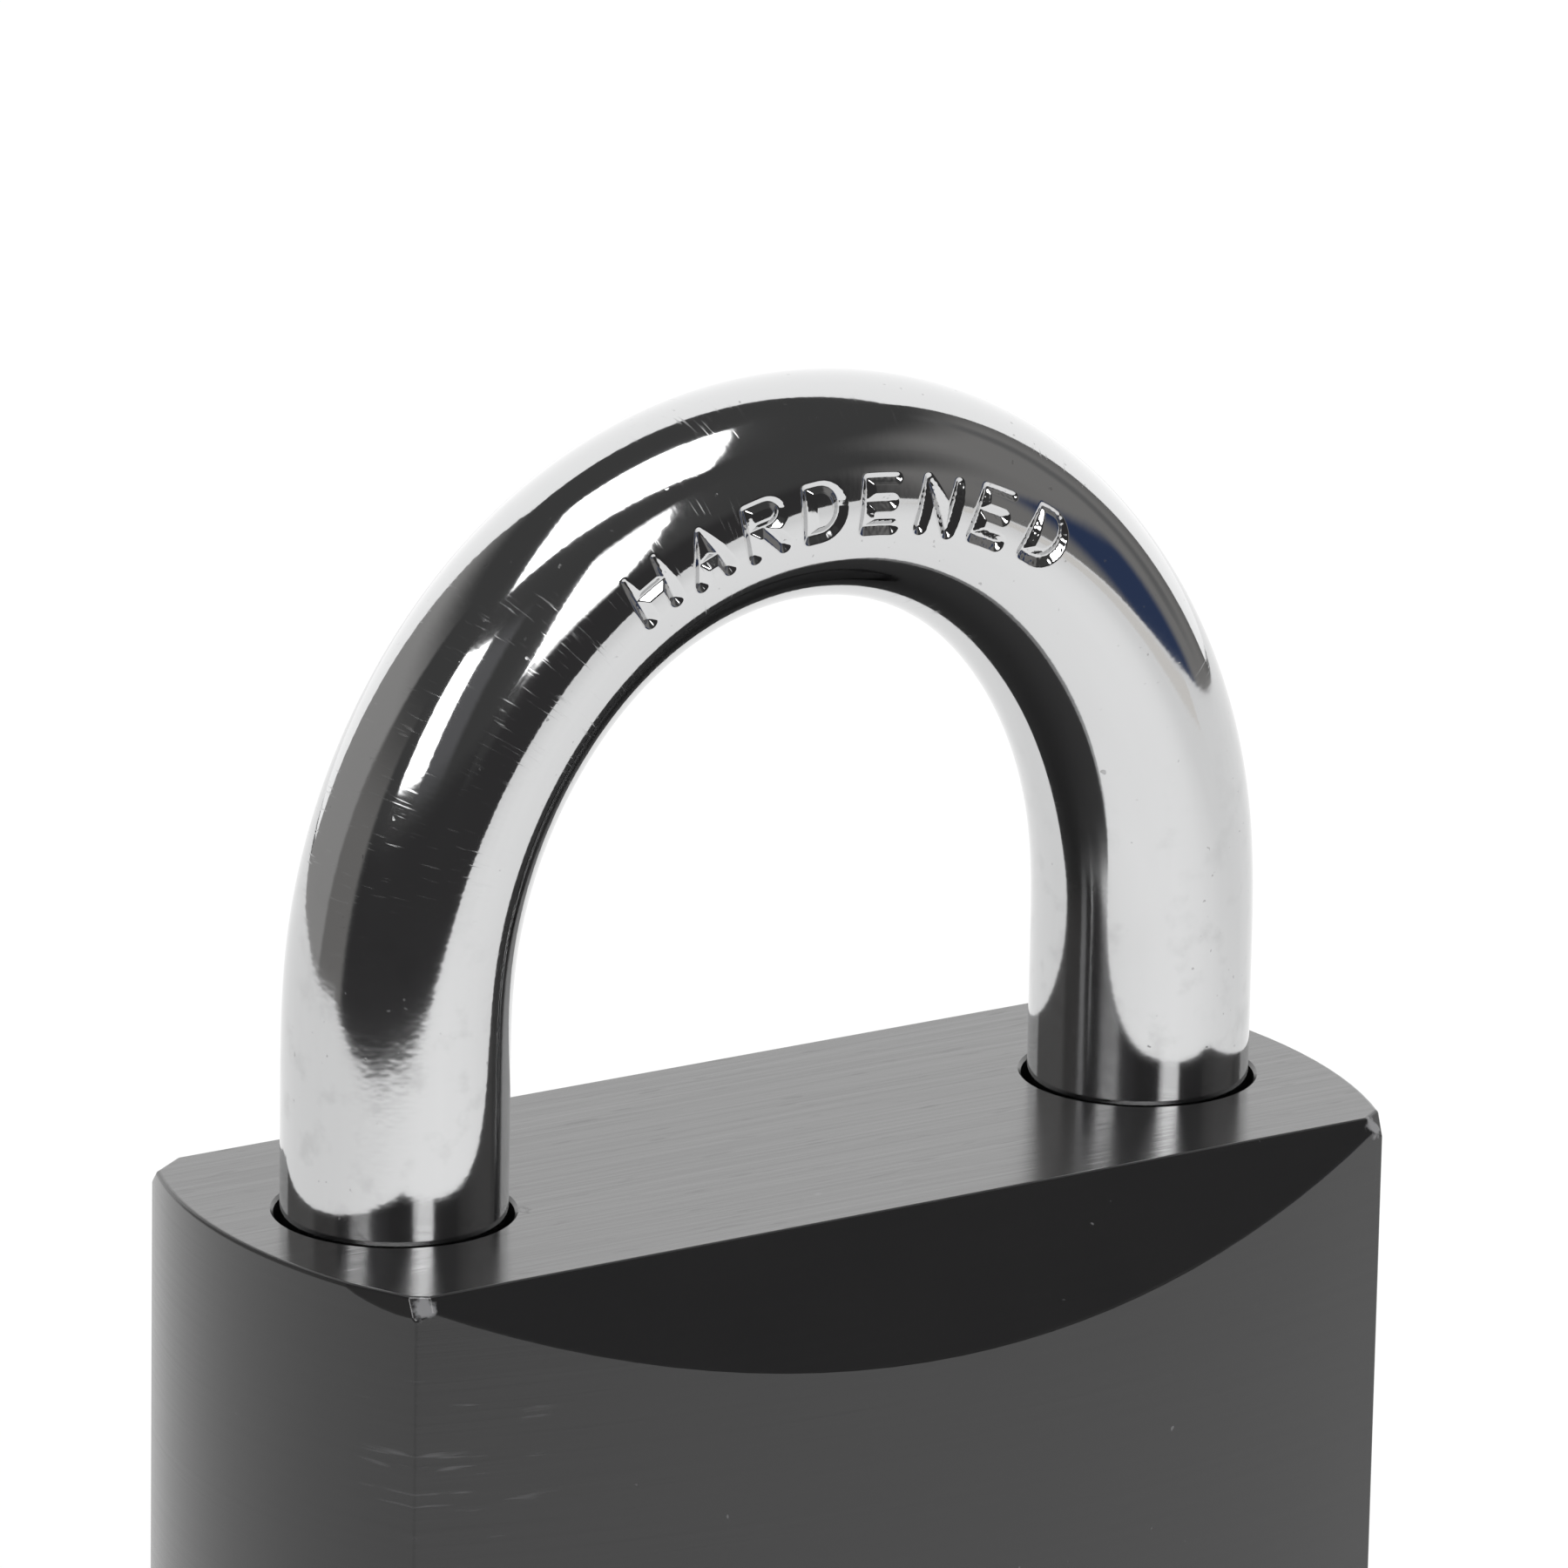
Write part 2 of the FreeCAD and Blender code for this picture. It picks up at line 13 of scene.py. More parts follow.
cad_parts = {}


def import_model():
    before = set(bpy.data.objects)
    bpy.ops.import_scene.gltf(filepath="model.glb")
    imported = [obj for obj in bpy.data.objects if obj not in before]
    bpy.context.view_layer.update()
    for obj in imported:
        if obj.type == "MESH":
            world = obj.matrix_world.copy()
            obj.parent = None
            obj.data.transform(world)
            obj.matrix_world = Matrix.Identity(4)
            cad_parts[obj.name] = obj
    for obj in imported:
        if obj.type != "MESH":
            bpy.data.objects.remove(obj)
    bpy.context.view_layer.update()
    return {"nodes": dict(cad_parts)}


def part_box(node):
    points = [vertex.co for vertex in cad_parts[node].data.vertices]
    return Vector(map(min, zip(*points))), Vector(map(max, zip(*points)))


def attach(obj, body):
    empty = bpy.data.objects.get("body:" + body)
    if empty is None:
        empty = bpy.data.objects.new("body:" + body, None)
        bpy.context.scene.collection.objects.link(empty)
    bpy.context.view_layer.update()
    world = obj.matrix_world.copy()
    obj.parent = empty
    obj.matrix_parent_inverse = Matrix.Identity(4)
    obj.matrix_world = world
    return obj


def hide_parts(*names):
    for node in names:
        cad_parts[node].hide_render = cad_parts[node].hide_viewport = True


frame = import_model()
nodes = frame["nodes"]

MM = 0.001

# ---- sizes read from the frame ---------------------------------------------------------------------
_, body_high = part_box("lock_body")
shackle_low, shackle_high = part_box("shackle")
ball_low, ball_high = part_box("ball_heel")

BODY_TOP = body_high.z
BAR_RADIUS = (shackle_high.y - shackle_low.y) / 2
LEG_X = shackle_high.x - BAR_RADIUS
FOOT_Z = shackle_low.z
BALL_RADIUS = (ball_high.z - ball_low.z) / 2
BALL_Z = (ball_high.z + ball_low.z) / 2

# ---- shackle shape, as in the CAD model --------------------------------------------------------------
SPRING_Z = BODY_TOP + 9.65 * MM     # where the legs turn into the arch
HAUNCH_RADIUS = 24.75 * MM          # centre line beside each leg
HAUNCH_ANGLE = math.radians(45)
BEND_EASE = 3.0 * MM                # the bend comes in gradually over this distance either side
EASE_STEPS = 8                      # neighbours averaged on either side
TOE_Z = 40.0 * MM
TOE_CHAMFER = 1.0 * MM
WAIST_RADIUS = 3.45 * MM
WAIST_TOP_Z = 39.5 * MM
WAIST_BOTTOM_Z = 18.9 * MM
WAIST_STEP = 0.01 * MM              # height over which the bar narrows to its waist
FOOT_CHAMFER = 0.6 * MM
NOTCH_RADIUS = BALL_RADIUS + 0.1 * MM
NOTCH_X = 13.55 * MM

HAUNCH_INSET = HAUNCH_RADIUS - LEG_X
CROWN_RADIUS = HAUNCH_RADIUS - HAUNCH_INSET / math.cos(HAUNCH_ANGLE)
CROWN_Z = SPRING_Z + HAUNCH_INSET * math.tan(HAUNCH_ANGLE)

# ---- stamped word ------------------------------------------------------------------------------------
WORD = "HARDENED"
LETTER_HEIGHT = 2.45 * MM           # between the middles of the strokes, as is the width
LETTER_WIDTH = 1.75 * MM
LETTER_PITCH = 3.32 * MM
WORD_CENTRE = 0.4 * MM              # along the bar, towards the heel
WORD_LIFT = 0.2 * MM                # outwards from the bar's crest
WORD_DRIFT = 0.5 * MM               # the first and last letters stand this much further out
PUNCH_DEPTH = 0.27 * MM             # of the stroke's valley
PUNCH_HALF_WIDTH = 0.43 * MM
VALLEY_RADIUS = 0.05 * MM
PUNCH_TILT = 0.04                   # the punch was held so that the letters' feet are deeper
PUNCH_ROCK = 0.25                   # how far the strokes fade where the bar curves away from its crest
TORN_DEPTH = 0.025 * MM             # roughness of the strokes, full from three letters past the middle
TORN_EARLY = 0.15                   # share of it in the first half of the word
TORN_CELL = 0.16 * MM
TORN_FROM = 0.3                     # share of the punch's depth from which a stroke is rough
STAMP_CELL = 0.06 * MM              # mesh spacing where the letters are

STAMP_REACH = LETTER_HEIGHT / 2 + WORD_LIFT + WORD_DRIFT + 2 * PUNCH_HALF_WIDTH

BAR_CELL = 0.5 * MM                 # mesh spacing along the rest of the bar
BAR_SIDES = 96
SHARP_TURN = math.radians(30)       # turned edges and notch rims steeper than this stay sharp


# ======================================================================================================
# Shackle mesh
# ======================================================================================================
def arc_point(centre_x, centre_z, radius, angle):
    """Point and tangent on an arc that is walked clockwise from the -X side."""
    point = Vector((centre_x - radius * math.cos(angle), 0, centre_z + radius * math.sin(angle)))
    return point, Vector((math.sin(angle), 0, math.cos(angle)))


HAUNCH_LENGTH = HAUNCH_RADIUS * HAUNCH_ANGLE
CROWN_LENGTH = CROWN_RADIUS * (math.pi - 2 * HAUNCH_ANGLE)
ARCH_LENGTH = 2 * HAUNCH_LENGTH + CROWN_LENGTH


def arch_point(distance):
    """Centre line of the arch, a distance along it from the toe side's spring line."""
    if distance < 0:
        return Vector((-LEG_X, 0, SPRING_Z + distance)), Vector((0, 0, 1))
    if distance > ARCH_LENGTH:
        return Vector((LEG_X, 0, SPRING_Z + ARCH_LENGTH - distance)), Vector((0, 0, -1))
    if distance < HAUNCH_LENGTH:
        return arc_point(HAUNCH_INSET, SPRING_Z, HAUNCH_RADIUS, distance / HAUNCH_RADIUS)
    distance -= HAUNCH_LENGTH
    if distance < CROWN_LENGTH:
        return arc_point(0, CROWN_Z, CROWN_RADIUS, HAUNCH_ANGLE + distance / CROWN_RADIUS)
    distance -= CROWN_LENGTH
    angle = math.pi - HAUNCH_ANGLE + distance / HAUNCH_RADIUS
    return arc_point(-HAUNCH_INSET, SPRING_Z, HAUNCH_RADIUS, angle)


def eased_point(distance):
    """The same with the changes of bend smoothed, as the mean of its neighbourhood."""
    near = [arch_point(distance + BEND_EASE * i / EASE_STEPS) for i in range(-EASE_STEPS, EASE_STEPS + 1)]
    middle = sum((point for point, _ in near), Vector()) / len(near)
    return middle, sum((tangent for _, tangent in near), Vector()).normalized()


def even_steps(start, end, step):
    count = max(1, math.ceil(abs(end - start) / step))
    return [start + (end - start) * i / count for i in range(count + 1)]


def leg_stations(side, profile):
    """Stations of a straight leg from a profile of (height, radius) corners."""
    tangent = Vector((0, 0, 1 if side < 0 else -1))
    stations = []
    for (z0, r0), (z1, r1) in zip(profile, profile[1:]):
        cell = BAR_CELL * 2
        for share in even_steps(0.0, 1.0, cell / max(abs(z1 - z0), cell))[:-1]:
            z = z0 + (z1 - z0) * share
            stations.append((Vector((side * LEG_X, 0, z)), tangent, r0 + (r1 - r0) * share))
    return stations


def bar_stations():
    """(centre, tangent, radius) of every ring of the bar, from the toe's tip to the heel's foot."""
    straight_end = SPRING_Z - BEND_EASE
    toe = [(TOE_Z, BAR_RADIUS - TOE_CHAMFER), (TOE_Z + TOE_CHAMFER, BAR_RADIUS), (straight_end, BAR_RADIUS)]
    heel = [(straight_end, BAR_RADIUS), (WAIST_TOP_Z, BAR_RADIUS), (WAIST_TOP_Z - WAIST_STEP, WAIST_RADIUS),
            (WAIST_BOTTOM_Z, WAIST_RADIUS), (WAIST_BOTTOM_Z - WAIST_STEP, BAR_RADIUS),
            (FOOT_Z + FOOT_CHAMFER, BAR_RADIUS), (FOOT_Z, BAR_RADIUS - FOOT_CHAMFER)]
    half_word = len(WORD) * LETTER_PITCH / 2
    middle = ARCH_LENGTH / 2 + WORD_CENTRE
    along = (even_steps(-BEND_EASE, middle - half_word, BAR_CELL)[:-1]
             + even_steps(middle - half_word, middle + half_word, STAMP_CELL)
             + even_steps(middle + half_word, ARCH_LENGTH + BEND_EASE, BAR_CELL)[1:-1])
    arch = [(*eased_point(distance), BAR_RADIUS) for distance in along]
    toe_rings = leg_stations(-1, toe)
    heel_rings = leg_stations(1, heel)
    last_z, last_radius = heel[-1]
    heel_rings.append((Vector((LEG_X, 0, last_z)), Vector((0, 0, -1)), last_radius))
    distances = [None] * len(toe_rings) + along + [None] * len(heel_rings)
    return toe_rings + arch + heel_rings, distances


def ring_angles():
    """Angles round the bar, 0 on the inside of the bow and a quarter turn back from there at the rear.
    They are closer together where the letters are, at the front."""
    reach = STAMP_REACH / BAR_RADIUS
    front = 1.5 * math.pi
    fine = even_steps(front - reach, front + reach, STAMP_CELL / BAR_RADIUS)
    coarse = even_steps(front + reach, front - reach + 2 * math.pi, 2 * math.pi / BAR_SIDES)
    return fine + coarse[1:-1]


# ---- letters, as strokes in a box one wide and one high ----------------------------------------------
def bowl(centre_x, low, high):
    """Half ellipse that bulges to the right edge of the letter's box, as a run of points."""
    middle = (low + high) / 2
    turns = [math.pi * i / 12 for i in range(13)]
    return [(centre_x + (1 - centre_x) * math.sin(t), middle + (high - middle) * math.cos(t)) for t in turns]


LETTERS = {
    "H": [[(0, 0), (0, 1)], [(1, 0), (1, 1)], [(0, 0.5), (1, 0.5)]],
    "A": [[(0, 0), (0.5, 1), (1, 0)], [(0.2, 0.36), (0.8, 0.36)]],
    "R": [[(0, 0), (0, 1)], [(0, 1)] + bowl(0.6, 0.5, 1) + [(0, 0.5)], [(0.45, 0.5), (1, 0)]],
    "D": [[(0, 0), (0, 1)], [(0, 1)] + bowl(0.4, 0, 1) + [(0, 0)]],
    "E": [[(0.9, 0), (0, 0), (0, 1), (0.9, 1)], [(0, 0.52), (0.75, 0.52)]],
    "N": [[(0, 0), (0, 1), (1, 0), (1, 1)]],
}


def word_strokes():
    """Every stroke of the word as a segment, by its ends' places on the bar's surface: along the bar from
    the middle of the word, and round it from the crest, outwards positive."""
    segments = []
    for index, letter in enumerate(WORD):
        place = index - (len(WORD) - 1) / 2
        left = place * LETTER_PITCH - LETTER_WIDTH / 2
        lift = WORD_LIFT + WORD_DRIFT * (2 * place / (len(WORD) - 1)) ** 2
        for stroke in LETTERS[letter]:
            points = [(left + x * LETTER_WIDTH, lift + (y - 0.5) * LETTER_HEIGHT) for x, y in stroke]
            segments += zip(points, points[1:])
    return np.array(segments)


def stamp_depth(along, out):
    """How deep the word's V-shaped strokes go below the bar's surface at a point of it."""
    point = np.array((along, out))
    start, end = STROKES[:, 0], STROKES[:, 1]
    span = end - start
    share = np.clip(((point - start) * span).sum(1) / (span ** 2).sum(1), 0, 1)
    nearest = np.linalg.norm(start + span * share[:, None] - point, axis=1).min()
    fall = math.hypot(nearest, VALLEY_RADIUS) / math.hypot(PUNCH_HALF_WIDTH, VALLEY_RADIUS)
    shallower = PUNCH_ROCK * out * out / (2 * BAR_RADIUS) + PUNCH_TILT * out
    depth = max(0.0, PUNCH_DEPTH * (1 - fall) - shallower)
    torn = TORN_DEPTH * noise.noise(Vector((along, out, 0)) / TORN_CELL)
    late = TORN_EARLY + (1 - TORN_EARLY) * min(1.0, max(0.0, along / (3 * LETTER_PITCH)))
    return depth + torn * late * min(1.0, depth / (TORN_FROM * PUNCH_DEPTH))


STROKES = word_strokes()


def shackle_mesh():
    """The bent bar as a grid of rings, with (angle, distance) as its UV and the letters pressed in."""
    stations, distances = bar_stations()
    angles = ring_angles()
    middle = ARCH_LENGTH / 2 + WORD_CENTRE
    reach = len(WORD) * LETTER_PITCH / 2
    mesh = bmesh.new()
    uv_layer = mesh.loops.layers.uv.new("bar")
    rings = []
    travelled = [0.0]
    for index, (centre, tangent, radius) in enumerate(stations):
        if index:
            travelled.append(travelled[-1] + (centre - stations[index - 1][0]).length)
        across = Vector((0, 1, 0)).cross(tangent)
        distance = distances[index]
        ring = []
        for angle in angles:
            normal = across * math.cos(angle) + Vector((0, math.sin(angle), 0))
            depth = 0.0
            out = (1.5 * math.pi - angle) * BAR_RADIUS
            if distance is not None and abs(distance - middle) < reach and abs(out) < STAMP_REACH:
                depth = stamp_depth(distance - middle, out)
            ring.append(mesh.verts.new(centre + normal * (radius - depth)))
        rings.append(ring)
    count = len(angles)
    for row in range(len(rings) - 1):
        for column in range(count):
            following = (column + 1) % count
            corners = [(row, column), (row, following), (row + 1, following), (row + 1, column)]
            face = mesh.faces.new([rings[r][c] for r, c in corners])
            face.smooth = True
            for loop, (r, c) in zip(face.loops, corners):
                wrapped = c < column
                loop[uv_layer].uv = (angles[c] + (2 * math.pi if wrapped else 0), travelled[r] / MM)
    mesh.faces.new(list(reversed(rings[0])))
    mesh.faces.new(rings[-1])
    bmesh.ops.recalc_face_normals(mesh, faces=mesh.faces)
    data = bpy.data.meshes.new("shackle_bar")
    mesh.to_mesh(data)
    mesh.free()
    return data


def add_object(name, data):
    made = bpy.data.objects.new(name, data)
    bpy.context.scene.collection.objects.link(made)
    return made


def cut_notches(shackle):
    """Cuts the two ball notches into the inner sides of the legs."""
    for side in (-1, 1):
        ball = bmesh.new()
        bmesh.ops.create_uvsphere(ball, u_segments=96, v_segments=64, radius=NOTCH_RADIUS,
                                  matrix=Matrix.Translation((side * NOTCH_X, 0, BALL_Z)))
        data = bpy.data.meshes.new("notch_cutter")
        ball.to_mesh(data)
        ball.free()
        cutter = add_object("notch_cutter", data)
        cut = shackle.modifiers.new("notch", "BOOLEAN")
        cut.object = cutter
        cut.operation = "DIFFERENCE"
        cut.solver = "EXACT"
        evaluated = shackle.evaluated_get(bpy.context.evaluated_depsgraph_get())
        result = bpy.data.meshes.new_from_object(evaluated)
        shackle.modifiers.clear()
        shackle.data = result
        bpy.data.objects.remove(cutter)


def sharpen_turned_edges(data):
    """Marks the turned edges and notch rims as sharp, and leaves the polished bow smooth."""
    data.polygons.foreach_set("use_smooth", [True] * len(data.polygons))
    data.set_sharp_from_angle(angle=SHARP_TURN)
    for edge in data.edges:
        if min(data.vertices[v].co.z for v in edge.vertices) > SPRING_Z:
            edge.use_edge_sharp = False


def make_shackle():
    shackle = add_object("shackle_bar", shackle_mesh())
    cut_notches(shackle)
    sharpen_turned_edges(shackle.data)
    return shackle


# ======================================================================================================
# Materials
# ======================================================================================================
class Graph:
    """Short way to write the node graph of a material or of the world."""

    def __init__(self, owner):
        self.owner = owner
        owner.use_nodes = True
        self.tree = owner.node_tree
        self.tree.nodes.clear()

    def add(self, kind, **settings):
        node = self.tree.nodes.new(kind)
        for key, value in settings.items():
            setattr(node, key, value)
        return node

    def link(self, source, target):
        self.tree.links.new(source, target)

    def feed(self, socket, value):
        """Puts a number, a tuple or another node's output into a socket."""
        if isinstance(value, bpy.types.NodeSocket):
            self.link(value, socket)
        else:
            socket.default_value = value

    def math(self, operation, *values):
        node = self.add("ShaderNodeMath", operation=operation)
        for socket, value in zip(node.inputs, values):
            self.feed(socket, value)
        return node.outputs[0]

    def vector(self, operation, *values):
        node = self.add("ShaderNodeVectorMath", operation=operation)
        for socket, value in zip(node.inputs, values):
            self.feed(socket, value)
        return node.outputs["Value" if operation == "LENGTH" else "Vector"]

    def combine(self, x, y, z):
        node = self.add("ShaderNodeCombineXYZ")
        for socket, value in zip(node.inputs, (x, y, z)):
            self.feed(socket, value)
        return node.outputs[0]

    def separate(self, vector):
        node = self.add("ShaderNodeSeparateXYZ")
        self.feed(node.inputs[0], vector)
        return node.outputs

    def noise(self, vector, scale=1.0, detail=2.0, roughness=0.5):
        node = self.add("ShaderNodeTexNoise")
        self.feed(node.inputs["Vector"], vector)
        node.inputs["Scale"].default_value = scale
        node.inputs["Detail"].default_value = detail
        node.inputs["Roughness"].default_value = roughness
        return node.outputs["Fac"]

    def step(self, value, low, high, to_low=0.0, to_high=1.0):
        """Smooth ramp from one output value to another between two input values."""
        node = self.add("ShaderNodeMapRange", interpolation_type="SMOOTHSTEP")
        for socket, item in zip(node.inputs, (value, low, high, to_low, to_high)):
            self.feed(socket, item)
        return node.outputs[0]

    def mix(self, factor, a, b):
        """Blend of two colours."""
        node = self.add("ShaderNodeMix", data_type="RGBA")
        self.feed(node.inputs["Factor"], factor)
        self.feed(node.inputs[6], a)
        self.feed(node.inputs[7], b)
        return node.outputs[2]

    def blend_vectors(self, factor, a, b):
        node = self.add("ShaderNodeMix", data_type="VECTOR")
        self.feed(node.inputs["Factor"], factor)
        self.feed(node.inputs[4], a)
        self.feed(node.inputs[5], b)
        return node.outputs[1]

    def bump(self, height, strength, distance):
        node = self.add("ShaderNodeBump")
        node.inputs["Strength"].default_value = strength
        node.inputs["Distance"].default_value = distance
        self.feed(node.inputs["Height"], height)
        return node.outputs[0]

    def shader(self, **inputs):
        """Output of a Principled shader with the given inputs."""
        node = self.add("ShaderNodeBsdfPrincipled")
        for key, value in inputs.items():
            self.feed(node.inputs[key.replace("_", " ")], value)
        return node.outputs[0]

    def surface(self, **inputs):
        """The finished material, with such a shader as its surface."""
        self.link(self.shader(**inputs), self.add("ShaderNodeOutputMaterial").inputs[0])
        return self.owner

    def place(self):
        """Object coordinates in millimetres."""
        return self.vector("MULTIPLY", self.add("ShaderNodeTexCoord").outputs["Object"], (1000, 1000, 1000))

    def normal(self):
        """The flat normal in the object's own axes."""
        turn = self.add("ShaderNodeVectorTransform", vector_type="NORMAL", convert_from="WORLD",
                        convert_to="OBJECT")
        self.link(self.add("ShaderNodeNewGeometry").outputs["True Normal"], turn.inputs[0])
        return turn.outputs[0]

    def facing_away(self):
        """0 where the surface is seen square on, 1 where it is seen edge on."""
        node = self.add("ShaderNodeLayerWeight")
        node.inputs["Blend"].default_value = 0.5
        return node.outputs["Facing"]


def material_graph(name):
    return Graph(bpy.data.materials.new(name))


def paint(names, material):
    for name in names:
        slots = nodes[name].data.materials
        slots.clear()
        slots.append(material)


# Where the body is worn and carries painted highlights, in millimetres, and how deep the finishes' fine lines
# are.
BODY_MIDDLE = BODY_TOP / 2 / MM
WORN_AND_HIGHLIT_CORNER = (27.4, 12.1, BODY_MIDDLE - 0.5)           # from the body's middle, on all eight corners
SCUFFED_AT = (-26.0, -13.0, BODY_TOP / MM - 8.0)        # beside the near corner
CHIP_AT = (-16.5, -3.2, BODY_TOP / MM)                  # at the rim of the toe's bore
SIDE_ROUGHNESS = 0.24
BRUSH_DEPTH = 0.004 * MM
GRINDING_DEPTH = 0.0035 * MM
RING_DEPTH = 0.006 * MM
RING_SCALE = 6.0


def corner_wear_and_highlight(g, place):
    """Where the body's eight corners are lighter: the finish knocked off, and a painted highlight on their
    facets.
    """
    away = g.vector("ABSOLUTE", g.vector("SUBTRACT", place, (0.0, 0.0, BODY_MIDDLE)))
    from_corner = g.vector("LENGTH", g.vector("SUBTRACT", away, WORN_AND_HIGHLIT_CORNER))
    ragged = g.math("ADD", from_corner, g.math("MULTIPLY", g.noise(place, scale=2.2, detail=3.0), 0.9))
    return g.step(ragged, 1.1, 0.8)


def knocks(g, place, x, y, z):
    """Light scuffs on the front face beside the near corner, and a chip on the rim of the toe's bore."""
    lines = g.combine(g.math("MULTIPLY", g.math("ADD", x, y), 0.35), 2.0, g.math("MULTIPLY", z, 3.2))
    scuffs = g.step(g.noise(lines, detail=2.0), 0.60, 0.72)
    near_corner = g.step(g.vector("LENGTH", g.vector("SUBTRACT", place, SCUFFED_AT)), 2.0, 7.0, 0.25, 0.0)
    from_chip = g.vector("LENGTH", g.vector("SUBTRACT", place, CHIP_AT))
    ragged = g.math("ADD", from_chip, g.math("MULTIPLY", g.noise(place, scale=3.5, detail=2.0), 0.9))
    light = g.math("MAXIMUM", g.math("MULTIPLY", scuffs, near_corner), g.step(ragged, 0.80, 0.68, 0.0, 0.5))
    return light, g.step(ragged, 1.05, 0.80)


def black_satin():
    """Black finish over straight brushing: the lines run along X on the flats and level round the sides.
    The flats are rough where they are seen square on, and mirror at a glancing angle."""
    g = material_graph("black_satin")
    place = g.place()
    x, y, z = g.separate(place)
    on_top = g.step(g.math("ABSOLUTE", g.separate(g.normal())[2]), 0.75, 0.9)
    flat_lines = g.combine(g.math("MULTIPLY", x, 0.09), g.math("MULTIPLY", y, 6.0), 3.0)
    side_lines = g.combine(g.math("MULTIPLY", g.math("ADD", x, y), 0.07), 9.0, g.math("MULTIPLY", z, 6.0))
    lines = g.blend_vectors(on_top, side_lines, flat_lines)
    fine = g.noise(lines, scale=1.0, detail=3.0, roughness=0.6)
    broad = g.noise(g.vector("MULTIPLY", lines, (0.7, 0.4, 0.4)), scale=1.0, detail=2.0)
    dents = g.noise(g.vector("MULTIPLY", lines, (4.0, 0.35, 0.35)), scale=1.0, detail=1.0)
    dull_marks = g.step(dents, 0.66, 0.74)
    cloud = g.noise(place, scale=0.12, detail=3.0)
    specks = g.step(g.noise(place, scale=1.6, detail=1.0), 0.80, 0.84)
    worn_and_highlit_corners = corner_wear_and_highlight(g, place)
    shade = g.mix(cloud, (0.0085, 0.0085, 0.009, 1), (0.012, 0.0117, 0.0118, 1))
    scuffed, chipped = knocks(g, place, x, y, z)
    light_marks_and_highlight = g.math("MAXIMUM", g.math("MULTIPLY", specks, 0.5), g.math("MAXIMUM", worn_and_highlit_corners, scuffed))
    # The lighter corners are worn finish and also a painted highlight on the corner facets.
    colour = g.mix(light_marks_and_highlight, shade, (0.17, 0.17, 0.175, 1))
    glancing = g.step(g.facing_away(), 0.35, 0.70)
    flat_roughness = g.step(glancing, 0.0, 1.0, 0.85, 0.21)
    rougher = g.math("MULTIPLY", g.math("SUBTRACT", flat_roughness, SIDE_ROUGHNESS), on_top)
    base_roughness = g.math("ADD", SIDE_ROUGHNESS, rougher)
    roughness = g.math("ADD", base_roughness, g.math("MULTIPLY", g.math("SUBTRACT", fine, 0.5), 0.08))
    tangent = g.blend_vectors(on_top, (0.0, 0.0, 1.0), (0.0, 1.0, 0.0))
    streaks = g.step(broad, 0.3, 0.7, 0.19, 0.27)
    kept = g.math("SUBTRACT", 1.0, g.math("MAXIMUM", chipped, g.math("MULTIPLY", dull_marks, 0.5)))
    coat = g.math("MULTIPLY", g.math("MULTIPLY", glancing, on_top), g.math("MULTIPLY", streaks, kept))
    normal = g.bump(g.math("ADD", fine, g.math("MULTIPLY", broad, 2.0)), 1.0, BRUSH_DEPTH)
    return g.surface(Base_Color=colour, Roughness=roughness, IOR=1.58, Anisotropic=0.6, Tangent=tangent,
                     Normal=normal, Coat_Weight=coat, Coat_IOR=2.2, Coat_Roughness=0.18, Coat_Normal=normal)


GROUND_HAUNCH = (50, 72)            # millimetres from the toe's tip over which the grinding gets finer


